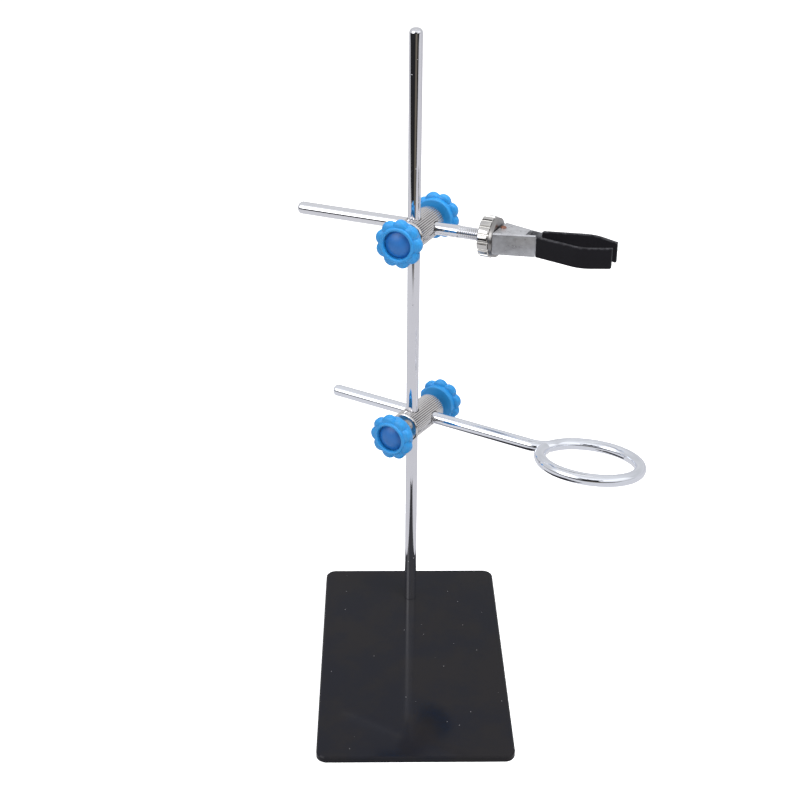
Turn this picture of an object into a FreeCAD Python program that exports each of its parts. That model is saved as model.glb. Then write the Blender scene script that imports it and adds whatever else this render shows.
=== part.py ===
import FreeCAD, Part
import math
import os
import Sketcher
from FreeCAD import Vector

# Small retort stand: a plate base with an upright rod, two boss heads that
# clamp on it, an arm with a two-jaw clamp in the upper one and an arm that
# ends in a ring in the lower one. Millimetres, +Z up, +Y towards the rod's
# edge of the plate, origin at the middle of the plate's underside.

plateWidth = 90  # base plate, across
plateDepth = 150  # base plate, front to back
plateThick = 3  # base plate thickness
plateCorner = 5  # radius of the plate's corners
plateEdge = 0.6  # bevel of the plate's top edge

rodDiameter = 6  # upright rod and both arms
rodTop = 300  # height of the upright's top end
rodInset = 25  # upright's axis from the plate's back edge
rodTipBevel = 1.2  # bevel of free rod ends
spigotDiameter = 5  # upright's end inside the plate
turnGap = 0.05  # radial clearance where a thread turns

upperHeight = 206.5  # height of the upper boss head
upperTurn = 25  # clamp arm, degrees forward of straight right
lowerHeight = 107.5  # height of the lower boss head
lowerTurn = 32.5  # ring arm, degrees forward of straight right

barrelDiameter = 14.8  # boss head barrel
barrelFront = 7.5  # upright's axis to the barrel's front end
barrelRear = 19  # upright's axis to the barrel's rear end
barrelChamfer = 0.6  # chamfer of the barrel's ends
armOffset = 10  # upright's axis to the arm's axis
boreGap = 0.35  # radial clearance of a rod in a barrel

screwDiameter = 6  # clamping screws
screwTipGap = 0.1  # screw tip to the rod that it clamps
screwSeat = 4.2  # length of screw held in its knob

knobDiameter = 23  # over the petals
petalCount = 9  # petals round a knob
petalRadius = 3.9  # radius of one petal
petalThick = 4.8  # petals, along the screw
petalSides = 10  # flats that stand for a petal's round outline
petalBevel = 1.6  # bevel of a petal's front rim
hubDiameter = 18.6  # round hub behind the petals
hubThick = 2.4  # hub, along the screw
ringOuter = 16.4  # raised middle of the knob's face
ringProud = 0.7  # raised middle above the petals

upperRodKnobGap = 4.8  # upper barrel to its front knob
upperArmKnobGap = 3.5  # upper barrel to its rear knob
lowerRodKnobGap = 6.5  # lower barrel to its front knob
lowerArmKnobGap = 4.5  # lower barrel to its rear knob

clampArmRear = 65.5  # crossing to the clamp arm's free end
pivotReach = 40.2  # crossing to the jaws' pivot
tangNose = 5.8  # pivot to the arm's front end
tangThick = 4.4  # flattened front end of the clamp arm
tangLength = 9.5  # length of the flats on the clamp arm
rivetDiameter = 2.2  # pivot rivet's shank
rivetGap = 0.06  # radial clearance of a jaw on the rivet
rivetHead = 3.0  # rivet head diameter
rivetHeadHeight = 0.5  # rivet head height

sheetThick = 0.9  # sheet steel of the jaws
channelHeight = 10.4  # outer jaw's channel, over its flanges
nestGap = 0.1  # between the flanges of the two jaws
tailLength = 1.8  # pivot to the jaws' tail ends
tailSpread = 9.3  # arm's axis to a jaw's outside at the tail
channelLength = 18.8  # jaw channel, tail to front
frontSpread = 4.6  # arm's axis to a jaw's outside at the front
flangeLength = 14.2  # flange length from the tail
flangeReach = 7.2  # flange past the arm's axis at the tail
flangeRelief = 0.7  # flange corner past the axis, set forward of the tail
flangeNose = 2.8  # flange past the arm's axis at its front
prongHeight = 8.2  # prong strip, top to bottom
elbowReach = 23.4  # channel front to the prong's bend
elbowSpread = 10.2  # arm's axis to the prong's bend
tipReach = 11.7  # prong's bend to its tip
tipSpread = 4.6  # arm's axis to the outside of a tip
elbowRadius = 12  # inside radius of the prong's bend
sleeveHeight = 9.4  # soft sleeve, top to bottom
sleeveWall = 0.6  # soft sleeve's wall
sleeveFit = 0.01  # sleeve to the prong inside it

collarGap = 0.3  # push collar to the jaws' tails
collarDiameter = 18.4  # push collar
collarThick = 2  # push collar, along the arm
nutDiameter = 19.5  # fluted nut
nutThick = 5.4  # fluted nut, along the arm
nutFluteCount = 16  # grooves round the nut
nutFluteWidth = 1.8  # width of a groove on the nut, outside
nutFluteFloor = 0.8  # width of a groove on the nut, inside
nutFluteDepth = 0.6  # depth of a groove on the nut

ringArmRear = 53  # crossing to the ring arm's free end
ringReach = 91.8  # crossing to the middle of the ring
ringDiameter = 47.2  # ring, to the middle of its wire
neckRadius = 10  # bend from the arm into the ring
ringRoll = 9.5  # ring arm turned in its hole, near side up
wireSides = 12  # flats that stand for the round section of the bent wire
wireInset = 0.02  # corners of that section, inside the rod's surface
wireOverlap = 1  # where that section starts, inside the straight rod

doc = FreeCAD.newDocument("RetortStand")
sheet = doc.addObject("Spreadsheet::Sheet", "Sizes")
sizes = {name: value for name, value in globals().items() if isinstance(value, (int, float))}


# A size keeps its number together with the formula that gives it.
class Size:
    def __init__(self, value, text):
        self.value = float(value)
        self.text = text

    def __add__(self, other):
        other = asSize(other)
        return Size(self.value + other.value, f"({self.text} + {other.text})")

    def __sub__(self, other):
        other = asSize(other)
        return Size(self.value - other.value, f"({self.text} - {other.text})")

    def __mul__(self, other):
        other = asSize(other)
        return Size(self.value * other.value, f"({self.text} * {other.text})")

    def __truediv__(self, other):
        other = asSize(other)
        return Size(self.value / other.value, f"({self.text} / {other.text})")

    def __neg__(self):
        return Size(-self.value, f"(-1 * {self.text})")


def asSize(number):
    if isinstance(number, Size):
        return number
    return Size(number, f"({number})")


def sine(angle):
    return Size(math.sin(math.radians(angle.value)), f"sin({angle.text})")


def cosine(angle):
    return Size(math.cos(math.radians(angle.value)), f"cos({angle.text})")


def squareRoot(size):
    return Size(math.sqrt(size.value), f"sqrt({size.text})")


class Sizes:
    pass


# Each size has a row of the sheet under its own name, and dim holds them all.
dim = Sizes()
for row, (alias, value) in enumerate(sizes.items(), 1):
    sheet.set(f"A{row}", alias)
    sheet.set(f"B{row}", str(value))
    sheet.setAlias(f"B{row}", alias)
    setattr(dim, alias, Size(value, f"Sizes.{alias}"))
doc.recompute()


# Sketches, features and places, each bound to the sheet.
def bind(feature, name, size):
    size = asSize(size)
    setattr(feature, name, size.value)
    feature.setExpression(name, size.text)


def newBody(name):
    body = doc.addObject("PartDesign::Body", name)
    body.Label = name
    return body


def originPlane(body, role):
    for part in body.Origin.OriginFeatures:
        if part.Role == role:
            return part


def newSketch(body, name, role, lift=None):
    sketch = body.newObject("Sketcher::SketchObject", name)
    sketch.AttachmentSupport = (originPlane(body, role), [""])
    sketch.MapMode = "FlatFace"
    if lift is not None:
        sketch.AttachmentOffset = FreeCAD.Placement(Vector(0, 0, lift.value), FreeCAD.Rotation())
        sketch.setExpression("AttachmentOffset.Base.z", lift.text)
    return sketch


def pinPoint(sketch, element, corner, point):
    for kind, size in zip(("DistanceX", "DistanceY"), point):
        index = sketch.addConstraint(Sketcher.Constraint(kind, -1, 1, element, corner, size.value))
        sketch.setExpression(f"Constraints[{index}]", size.text)


def pinRadius(sketch, element, radius):
    index = sketch.addConstraint(Sketcher.Constraint("Radius", element, radius.value))
    sketch.setExpression(f"Constraints[{index}]", radius.text)


def polygon(body, name, role, points, lift=None):
    sketch = newSketch(body, name, role, lift)
    points = [(asSize(x), asSize(y)) for x, y in points]
    count = len(points)
    for index in range(count):
        start, end = points[index], points[(index + 1) % count]
        line = Part.LineSegment(
            Vector(start[0].value, start[1].value, 0), Vector(end[0].value, end[1].value, 0))
        sketch.addGeometry(line)
    for index in range(count):
        sketch.addConstraint(Sketcher.Constraint("Coincident", index, 2, (index + 1) % count, 1))
        pinPoint(sketch, index, 1, points[index])
    return sketch


# The corners of a regular polygon that stands for a round outline.
def roundCorners(centre, radius, sides):
    step = 360 / int(sides.value)
    angles = [asSize(index * step) for index in range(int(sides.value))]
    return [(asSize(centre) + radius * cosine(angle), radius * sine(angle)) for angle in angles]


def circle(body, name, role, centre, radius, lift=None):
    sketch = newSketch(body, name, role, lift)
    centre = (asSize(centre[0]), asSize(centre[1]))
    middle = Vector(centre[0].value, centre[1].value, 0)
    sketch.addGeometry(Part.Circle(middle, Vector(0, 0, 1), radius.value))
    pinPoint(sketch, 0, 3, centre)
    pinRadius(sketch, 0, radius)
    return sketch


def extrude(body, kind, name, sketch, length, midplane=False, backwards=False):
    feature = body.newObject(kind, name)
    feature.Profile = sketch
    bind(feature, "Length", length)
    feature.Midplane = midplane
    feature.Reversed = backwards
    sketch.Visibility = False
    doc.recompute()
    return feature


def pad(body, name, sketch, length, midplane=False, backwards=False):
    return extrude(body, "PartDesign::Pad", name, sketch, length, midplane, backwards)


def pocket(body, name, sketch, length, midplane=False, backwards=False):
    return extrude(body, "PartDesign::Pocket", name, sketch, length, midplane, backwards)


def revolve(body, name, sketch, axis, kind="PartDesign::Revolution"):
    feature = body.newObject(kind, name)
    feature.Profile = sketch
    feature.ReferenceAxis = (sketch, [axis])
    feature.Angle = 360
    doc.recompute()
    return feature


def sweep(body, name, section, path, edges):
    feature = body.newObject("PartDesign::AdditivePipe", name)
    feature.Profile = section
    feature.Spine = (path, edges)
    doc.recompute()
    return feature


def repeatRound(body, name, feature, role, count, mode="Features"):
    pattern = body.newObject("PartDesign::PolarPattern", name)
    pattern.TransformMode = mode
    if mode == "Features":
        pattern.Originals = [feature]
    pattern.Axis = (originPlane(body, role), [""])
    pattern.Angle = 360
    pattern.Occurrences = int(count.value)
    pattern.setExpression("Occurrences", count.text)
    body.Tip = pattern
    doc.recompute()
    return pattern


def edgesNear(feature, test):
    names = []
    for index, edge in enumerate(feature.Shape.Edges):
        if test(edge):
            names.append(f"Edge{index + 1}")
    return names


def soften(body, kind, name, feature, test, size):
    softened = body.newObject(kind, name)
    softened.Base = (feature, edgesNear(feature, test))
    bind(softened, "Radius" if kind.endswith("Fillet") else "Size", size)
    doc.recompute()
    return softened


def fillet(body, name, feature, test, radius):
    return soften(body, "PartDesign::Fillet", name, feature, test, radius)


def chamfer(body, name, feature, test, size):
    return soften(body, "PartDesign::Chamfer", name, feature, test, size)


def close(first, second):
    return abs(first - second) < 0.001


def isRim(edge, axis, place, radius):
    curve = edge.Curve
    return (isinstance(curve, Part.Circle) and close(curve.Radius, radius.value)
            and close(curve.Center[axis], asSize(place).value))


def put(body, x, y, z, turn=None, roll=None):
    spin = "create(<<rotation>>; create(<<vector>>; 0; 0; 1); {})".format(turn.text if turn else "0")
    if roll is not None:
        spin += " * create(<<rotation>>; create(<<vector>>; 1; 0; 0); {})".format(roll.text)
    place = "; ".join(asSize(size).text for size in (x, y, z))
    body.setExpression("Placement", f"create(<<placement>>; create(<<vector>>; {place}); {spin})")


rodRadius = dim.rodDiameter / 2
rodY = dim.plateDepth / 2 - dim.rodInset
boreRadius = rodRadius + dim.boreGap


# The base plate, with the hole that takes the upright's end.
def basePlate():
    body = newBody("base_plate")
    halfWidth, halfDepth = dim.plateWidth / 2, dim.plateDepth / 2
    corners = [(-halfWidth, -halfDepth), (halfWidth, -halfDepth),
               (halfWidth, halfDepth), (-halfWidth, halfDepth)]
    plate = pad(body, "PlateBlank", polygon(body, "PlateOutline", "XY_Plane", corners), dim.plateThick)
    plate = fillet(body, "PlateCorners", plate, lambda edge: close(edge.BoundBox.ZLength, dim.plateThick.value),
                   dim.plateCorner)
    plate = chamfer(body, "PlateTopEdge", plate, lambda edge: close(edge.BoundBox.ZMin, dim.plateThick.value),
                    dim.plateEdge)
    hole = circle(body, "SpigotHole", "XY_Plane", (0, rodY), dim.spigotDiameter / 2 + dim.turnGap)
    pocket(body, "SpigotBore", hole, dim.plateThick, backwards=True)
    put(body, 0, 0, 0)


# The upright: a plain rod that steps down to the spigot screwed in the plate.
def uprightRod():
    body = newBody("upright_rod")
    spigot = dim.spigotDiameter / 2
    points = [(0, 0), (spigot, 0), (spigot, dim.plateThick), (rodRadius, dim.plateThick),
              (rodRadius, dim.rodTop), (0, dim.rodTop)]
    rod = revolve(body, "RodTurning", polygon(body, "RodProfile", "XZ_Plane", points), "V_Axis")
    chamfer(body, "RodTip", rod, lambda edge: isRim(edge, 2, dim.rodTop, rodRadius), dim.rodTipBevel)
    put(body, 0, rodY, 0)


# A boss head's barrel lies along Y with the upright through it at Y = 0 and
# the arm through it, along X, further back. A screw runs in from each end.
def bossBarrel(name, height, turn):
    body = newBody(name)
    radius = dim.barrelDiameter / 2
    points = [(0, -dim.barrelFront), (radius - dim.barrelChamfer, -dim.barrelFront),
              (radius, dim.barrelChamfer - dim.barrelFront), (radius, dim.barrelRear - dim.barrelChamfer),
              (radius - dim.barrelChamfer, dim.barrelRear), (0, dim.barrelRear)]
    revolve(body, "BarrelTurning", polygon(body, "BarrelProfile", "XY_Plane", points), "V_Axis")
    rodBore = circle(body, "RodBoreCircle", "XY_Plane", (0, 0), boreRadius)
    pocket(body, "RodBore", rodBore, dim.barrelDiameter, midplane=True)
    armBore = circle(body, "ArmBoreCircle", "YZ_Plane", (dim.armOffset, 0), boreRadius)
    pocket(body, "ArmBore", armBore, dim.barrelDiameter, midplane=True)
    thread = dim.screwDiameter / 2 + dim.turnGap
    front = circle(body, "FrontThreadCircle", "XZ_Plane", (0, 0), thread)
    pocket(body, "FrontThread", front, dim.barrelFront, backwards=True)
    rear = circle(body, "RearThreadCircle", "XZ_Plane", (0, 0), thread, -dim.armOffset)
    pocket(body, "RearThread", rear, dim.barrelRear - dim.armOffset)
    put(body, 0, rodY, height, -turn)


# A clamping screw and its knob, modelled along Y. The front pair points its
# tip along +Y at the upright, the rear pair is turned round to face the arm.
def clampScrew(name, height, turn, tip, seat, facing):
    body = newBody(name)
    radius = dim.screwDiameter / 2
    start = tip * facing
    end = (seat + dim.screwSeat) * facing
    points = [(0, start), (radius, start), (radius, end), (0, end)]
    revolve(body, "ScrewTurning", polygon(body, "ScrewProfile", "XY_Plane", points), "V_Axis")
    put(body, 0, rodY, height, -turn)


def petalKnob(name, height, turn, seat, facing):
    body = newBody(name)
    face = dim.hubThick + dim.petalThick
    ringTop = face + dim.ringProud
    socket = dim.screwDiameter / 2 + dim.turnGap

    def place(size):
        return (seat + asSize(size)) * facing

    centre = dim.knobDiameter / 2 - dim.petalRadius
    outline = polygon(body, "PetalOutline", "XZ_Plane",
                      roundCorners(centre, dim.petalRadius, dim.petalSides), -place(dim.hubThick))
    petal = pad(body, "Petal", outline, dim.petalThick, backwards=facing > 0)
    chamfer(body, "PetalRim", petal, lambda edge: close(edge.BoundBox.YMin, place(face).value)
            and close(edge.BoundBox.YMax, place(face).value), dim.petalBevel)
    repeatRound(body, "Petals", None, "Y_Axis", dim.petalCount, "Whole shape")
    points = [(socket, place(0)), (dim.hubDiameter / 2, place(0)), (dim.hubDiameter / 2, place(dim.hubThick)),
              (dim.ringOuter / 2, place(dim.hubThick)), (dim.ringOuter / 2, place(ringTop)),
              (0, place(ringTop)), (0, place(dim.screwSeat + dim.turnGap)),
              (socket, place(dim.screwSeat + dim.turnGap))]
    revolve(body, "KnobTurning", polygon(body, "KnobProfile", "XY_Plane", points), "V_Axis")
    put(body, 0, rodY, height, -turn)


def bossHead(side, height, turn, rodKnobGap, armKnobGap):
    bossBarrel(f"{side}_barrel", height, turn)
    rodTipPlace = rodRadius + dim.screwTipGap
    rodSeat = dim.barrelFront + rodKnobGap
    clampScrew(f"{side}_rod_screw", height, turn, rodTipPlace, rodSeat, -1)
    petalKnob(f"{side}_rod_knob", height, turn, rodSeat, -1)
    armTipPlace = dim.armOffset + rodRadius + dim.screwTipGap
    armSeat = dim.barrelRear + armKnobGap
    clampScrew(f"{side}_arm_screw", height, turn, armTipPlace, armSeat, 1)
    petalKnob(f"{side}_arm_knob", height, turn, armSeat, 1)


# What an arm carries is modelled along X from where the arm crosses the
# barrel's axis, and put on that crossing.
def putOnArm(body, height, turn, roll=None):
    put(body, dim.armOffset * sine(turn), rodY + dim.armOffset * cosine(turn), height, -turn, roll)


def clampArm():
    body = newBody("clamp_arm")
    front = dim.pivotReach + dim.tangNose
    points = [(-dim.clampArmRear, 0), (front, 0), (front, rodRadius), (-dim.clampArmRear, rodRadius)]
    rod = revolve(body, "ArmTurning", polygon(body, "ArmProfile", "XY_Plane", points), "H_Axis")
    chamfer(body, "ArmTip", rod, lambda edge: isRim(edge, 0, -dim.clampArmRear, rodRadius), dim.rodTipBevel)
    flatStart = front - dim.tangLength
    for name, low in (("Upper", dim.tangThick / 2), ("Lower", -rodRadius)):
        flat = [(flatStart, low), (front, low), (front, low + rodRadius - dim.tangThick / 2),
                (flatStart, low + rodRadius - dim.tangThick / 2)]
        sketch = polygon(body, f"{name}FlatOutline", "XZ_Plane", flat)
        pocket(body, f"{name}Flat", sketch, dim.rodDiameter, midplane=True)
    hole = circle(body, "RivetHoleCircle", "XY_Plane", (dim.pivotReach, 0), dim.rivetDiameter / 2)
    pocket(body, "RivetHole", hole, dim.rodDiameter, midplane=True)
    putOnArm(body, dim.upperHeight, dim.upperTurn)


def jawRivet():
    body = newBody("jaw_rivet")
    half = dim.channelHeight / 2
    shank, head = dim.rivetDiameter / 2, dim.rivetHead / 2
    points = [(dim.pivotReach, -half - dim.rivetHeadHeight), (dim.pivotReach + head, -half - dim.rivetHeadHeight),
              (dim.pivotReach + head, -half), (dim.pivotReach + shank, -half), (dim.pivotReach + shank, half),
              (dim.pivotReach + head, half), (dim.pivotReach + head, half + dim.rivetHeadHeight),
              (dim.pivotReach, half + dim.rivetHeadHeight)]
    sketch = polygon(body, "RivetProfile", "XZ_Plane", points)
    axis = sketch.addGeometry(Part.LineSegment(
        Vector(dim.pivotReach.value, 0, 0), Vector(dim.pivotReach.value, half.value, 0)), True)
    pinPoint(sketch, axis, 1, (dim.pivotReach, asSize(0)))
    pinPoint(sketch, axis, 2, (dim.pivotReach, half))
    revolve(body, "RivetTurning", sketch, "Axis0")
    putOnArm(body, dim.upperHeight, dim.upperTurn)


# A jaw is one folded sheet: a web that narrows towards the front, a flange
# above and one below round the pivot, and a prong strip that bows outwards.
# side is -1 for the near jaw and 1 for the far one, whose flanges nest
# inside the near jaw's.
tailX = dim.pivotReach - dim.tailLength
frontX = tailX + dim.channelLength
elbowX = frontX + dim.elbowReach
tipX = elbowX + dim.tipReach
webSlope = (dim.tailSpread - dim.frontSpread) / dim.channelLength


def strip(side, xs, ys, outward, inward):
    outside = [(x, (y + outward) * side) for x, y in zip(xs, ys)]
    inside = [(x, (y - inward) * side) for x, y in zip(xs, ys)]
    return outside + inside[::-1]


def isElbow(edge, side, height, offset):
    middle = edge.BoundBox.Center
    return (close(edge.BoundBox.ZLength, height.value) and close(middle.x, elbowX.value)
            and close(middle.y * side, dim.elbowSpread.value + offset))


def bendOutside(body, feature, side, height, outward):
    outward = asSize(outward)
    return fillet(body, "ElbowOutside", feature,
                  lambda edge: isElbow(edge, side, height, outward.value),
                  dim.elbowRadius + dim.sheetThick + outward)


def bendInside(body, feature, side, height, inward):
    return fillet(body, "ElbowInside", feature,
                  lambda edge: isElbow(edge, side, height, -inward.value),
                  dim.elbowRadius + dim.sheetThick - inward)


def jaw(name, side, height):
    body = newBody(name)
    webXs, webYs = (tailX, frontX), (dim.tailSpread, dim.frontSpread)
    web = polygon(body, "WebOutline", "XY_Plane", strip(side, webXs, webYs, asSize(0), dim.sheetThick))
    pad(body, "Web", web, height, midplane=True)
    flangeX = tailX + dim.flangeLength
    flange = [(tailX, dim.tailSpread * side), (flangeX, (dim.tailSpread - webSlope * dim.flangeLength) * side),
              (flangeX, -dim.flangeNose * side), (tailX + dim.flangeRelief, -dim.flangeReach * side)]
    top = polygon(body, "TopFlangeOutline", "XY_Plane", flange, height / 2)
    pad(body, "TopFlange", top, dim.sheetThick, backwards=True)
    bottom = polygon(body, "BottomFlangeOutline", "XY_Plane", flange, -height / 2)
    folded = pad(body, "BottomFlange", bottom, dim.sheetThick)

    def isFold(edge):
        box = edge.BoundBox
        ends = [corner.Point.y * side for corner in edge.Vertexes]
        return (close(abs(box.ZMin), height.value / 2) and box.ZLength < 0.001 and min(ends) > 0
                and box.XLength > dim.flangeLength.value / 2 and close(max(ends), dim.tailSpread.value))

    fillet(body, "Folds", folded, isFold, dim.sheetThick)
    prongXs, prongYs = (frontX, elbowX, tipX), (dim.frontSpread, dim.elbowSpread, dim.tipSpread)
    prong = polygon(body, "ProngOutline", "XY_Plane", strip(side, prongXs, prongYs, asSize(0), dim.sheetThick))
    prong = pad(body, "Prong", prong, dim.prongHeight, midplane=True)
    prong = bendOutside(body, prong, side, dim.prongHeight, 0)
    bendInside(body, prong, side, dim.prongHeight, dim.sheetThick)
    hole = circle(body, "PivotHoleCircle", "XY_Plane", (dim.pivotReach, 0), dim.rivetDiameter / 2 + dim.rivetGap)
    pocket(body, "PivotHole", hole, height, midplane=True)
    putOnArm(body, dim.upperHeight, dim.upperTurn)


# The soft sleeve over a prong, closed at the tip.
def sleeve(name, side):
    body = newBody(name)
    xs, ys = (frontX + dim.sleeveWall, elbowX, tipX + dim.sleeveWall), (dim.frontSpread, dim.elbowSpread, dim.tipSpread)
    outline = polygon(body, "SleeveOutline", "XY_Plane",
                      strip(side, xs, ys, dim.sleeveWall, dim.sheetThick + dim.sleeveWall))
    pad(body, "SleeveBlank", outline, dim.sleeveHeight, midplane=True)
    innerXs, innerYs = (frontX, elbowX, tipX), (dim.frontSpread, dim.elbowSpread, dim.tipSpread)
    cavityHeight = dim.prongHeight + dim.sleeveFit * 2
    cavity = polygon(body, "CavityOutline", "XY_Plane",
                     strip(side, innerXs, innerYs, dim.sleeveFit, dim.sheetThick + dim.sleeveFit))
    soft = pocket(body, "Cavity", cavity, cavityHeight, midplane=True)
    soft = bendOutside(body, soft, side, cavityHeight, dim.sleeveFit)
    soft = bendOutside(body, soft, side, dim.sleeveHeight, dim.sleeveWall)
    soft = bendInside(body, soft, side, dim.sleeveHeight, dim.sheetThick + dim.sleeveWall)
    bendInside(body, soft, side, cavityHeight, dim.sheetThick + dim.sleeveFit)
    putOnArm(body, dim.upperHeight, dim.upperTurn)


# The fluted nut runs on the arm's thread and drives the smooth push collar
# against the tails of both jaws.
collarFront = tailX - dim.collarGap
collarBack = collarFront - dim.collarThick
nutFront = collarBack - dim.turnGap
nutBack = nutFront - dim.nutThick


def ringOnArm(name, back, front, bore, radius):
    body = newBody(name)
    points = [(back, bore), (front, bore), (front, radius), (back, radius)]
    revolve(body, "Turning", polygon(body, "Profile", "XY_Plane", points), "H_Axis")
    return body


def pushCollar():
    radius = dim.collarDiameter / 2
    body = ringOnArm("push_collar", collarBack, collarFront, boreRadius, radius)
    putOnArm(body, dim.upperHeight, dim.upperTurn)


def clampNut():
    radius = dim.nutDiameter / 2
    body = ringOnArm("clamp_nut", nutBack, nutFront, rodRadius + dim.turnGap, radius)
    floor, outside = radius - dim.nutFluteDepth, radius + dim.nutFluteDepth
    halfFloor, halfOutside = dim.nutFluteFloor / 2, dim.nutFluteWidth - dim.nutFluteFloor / 2
    outline = [(floor, -halfFloor), (outside, -halfOutside), (outside, halfOutside), (floor, halfFloor)]
    groove = polygon(body, "GrooveOutline", "YZ_Plane", outline, nutBack)
    cut = pocket(body, "Groove", groove, dim.nutThick, backwards=True)
    repeatRound(body, "Grooves", cut, "X_Axis", dim.nutFluteCount)
    putOnArm(body, dim.upperHeight, dim.upperTurn)


# The ring arm: one rod that bends aside, runs round the ring and ends
# against its own neck, where it is welded.
def ringArm():
    body = newBody("ring_arm")
    ringRadius, neckRadius, reach = dim.ringDiameter / 2, dim.neckRadius, dim.ringReach
    straightEnd = reach - squareRoot(ringRadius * ringRadius + ringRadius * neckRadius * 2)
    points = [(-dim.ringArmRear, 0), (straightEnd, 0), (straightEnd, rodRadius), (-dim.ringArmRear, rodRadius)]
    rod = revolve(body, "ArmTurning", polygon(body, "ArmProfile", "XY_Plane", points), "H_Axis")
    chamfer(body, "ArmTip", rod, lambda edge: isRim(edge, 0, -dim.ringArmRear, rodRadius), dim.rodTipBevel)

    sweepStart = straightEnd - dim.wireOverlap
    neckAngle = math.asin(neckRadius.value / (neckRadius + ringRadius).value)
    up, middle = Vector(0, 0, 1), Vector(reach.value, 0, 0)
    neckCentre = Vector(straightEnd.value, neckRadius.value, 0)
    path = newSketch(body, "BendPath", "XY_Plane")
    path.addGeometry(Part.LineSegment(Vector(sweepStart.value, 0, 0), Vector(straightEnd.value, 0, 0)))
    path.addGeometry(Part.ArcOfCircle(
        Part.Circle(neckCentre, up, neckRadius.value), -math.pi / 2, -neckAngle))
    path.addGeometry(Part.ArcOfCircle(
        Part.Circle(middle, up, ringRadius.value), -math.pi / 2, math.pi - neckAngle))
    path.addConstraint(Sketcher.Constraint("Tangent", 0, 2, 1, 1))
    path.addConstraint(Sketcher.Constraint("Tangent", 1, 2, 2, 2))
    path.addConstraint(Sketcher.Constraint("PointOnObject", 0, 2, -1))
    pinRadius(path, 1, neckRadius)
    pinRadius(path, 2, ringRadius)
    pinPoint(path, 0, 1, (sweepStart, asSize(0)))
    pinPoint(path, 2, 3, (reach, asSize(0)))
    pinPoint(path, 2, 1, (reach,))
    corners = roundCorners(0, rodRadius - dim.wireInset, dim.wireSides)
    section = polygon(body, "BendSection", "YZ_Plane", corners, sweepStart)
    sweep(body, "BendAndRing", section, path, ["Edge1", "Edge2", "Edge3"])
    closing = newSketch(body, "ClosingPath", "XY_Plane")
    closing.addGeometry(Part.ArcOfCircle(
        Part.Circle(middle, up, ringRadius.value), math.pi, math.pi * 1.5))
    pinRadius(closing, 0, ringRadius)
    pinPoint(closing, 0, 3, (reach, asSize(0)))
    closing.addConstraint(Sketcher.Constraint("PointOnObject", 0, 1, -1))
    pinPoint(closing, 0, 2, (reach,))
    corners = roundCorners(-ringRadius, rodRadius - dim.wireInset, dim.wireSides)
    section = polygon(body, "ClosingSection", "YZ_Plane", corners, reach)
    sweep(body, "RingEnd", section, closing, ["Edge1"])
    putOnArm(body, dim.lowerHeight, dim.lowerTurn, -dim.ringRoll)


basePlate()
uprightRod()
bossHead("upper", dim.upperHeight, dim.upperTurn, dim.upperRodKnobGap, dim.upperArmKnobGap)
bossHead("lower", dim.lowerHeight, dim.lowerTurn, dim.lowerRodKnobGap, dim.lowerArmKnobGap)
clampArm()
jawRivet()
jaw("near_jaw", -1, dim.channelHeight)
jaw("far_jaw", 1, dim.channelHeight - (dim.sheetThick + dim.nestGap) * 2)
sleeve("near_sleeve", -1)
sleeve("far_sleeve", 1)
pushCollar()
clampNut()
ringArm()
doc.recompute()

# Nothing is written unless every object is sound.
for part in doc.Objects:
    if "Invalid" in part.State or "Error" in part.State:
        raise RuntimeError(f"{part.Label} failed: {part.State}")

os.makedirs("parts", exist_ok=True)
for part in doc.Objects:
    if part.TypeId != "PartDesign::Body":
        continue
    shape = part.Shape
    if shape.isNull() or not shape.isValid():
        raise RuntimeError(f"{part.Label} has no valid shape")
    shape.exportStep(f"parts/{part.Label}.step")
    print(f"{part.Label}: {len(shape.Solids)} solid, {shape.Volume:.1f} mm3")
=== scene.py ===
import math

import bmesh
import bpy
from mathutils import Matrix, Vector


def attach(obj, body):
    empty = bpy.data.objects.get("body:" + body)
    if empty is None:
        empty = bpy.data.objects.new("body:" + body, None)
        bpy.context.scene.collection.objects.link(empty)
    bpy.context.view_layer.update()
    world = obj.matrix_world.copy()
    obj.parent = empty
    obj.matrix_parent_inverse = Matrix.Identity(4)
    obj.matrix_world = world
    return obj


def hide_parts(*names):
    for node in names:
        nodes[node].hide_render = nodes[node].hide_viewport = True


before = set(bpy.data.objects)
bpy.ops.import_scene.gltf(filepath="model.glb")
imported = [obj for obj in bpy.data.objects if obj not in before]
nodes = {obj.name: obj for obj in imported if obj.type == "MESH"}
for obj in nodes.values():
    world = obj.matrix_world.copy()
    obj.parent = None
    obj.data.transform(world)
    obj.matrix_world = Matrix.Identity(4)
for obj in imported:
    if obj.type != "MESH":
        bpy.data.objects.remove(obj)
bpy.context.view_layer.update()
scene = bpy.context.scene
mm = 0.001

# Where the heads sit on the upright; every piece of a head is made in its
# own frame: X along the arm, Y along the barrel towards the rear knob.
stand = {"rodX": 0.0, "rodY": 50.0, "rodRadius": 3.0, "rodTop": 300.0, "shoulder": 3.0, "tipRound": 2.2,
         "spigot": 2.5, "spigotEdge": 0.4, "edge": 0.15}
heads = {
    "upper": {"height": 206.5, "turn": 25.0, "rodSeat": 12.3, "armSeat": 22.5, "petalTurns": (4.0, 15.0)},
    "lower": {"height": 107.5, "turn": 32.5, "rodSeat": 14.0, "armSeat": 23.5, "petalTurns": (20.0, 28.0)},
}
armOffset = 10.0
ringRoll = 9.5


def headPlace(head):
    spot = Matrix.Translation(Vector((stand["rodX"], stand["rodY"], head["height"])) * mm)
    return spot @ Matrix.Rotation(-math.radians(head["turn"]), 4, "Z")


def armPlace(head, roll=0.0):
    shift = Matrix.Translation((0, armOffset * mm, 0))
    return headPlace(head) @ shift @ Matrix.Rotation(-math.radians(roll), 4, "X")


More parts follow.
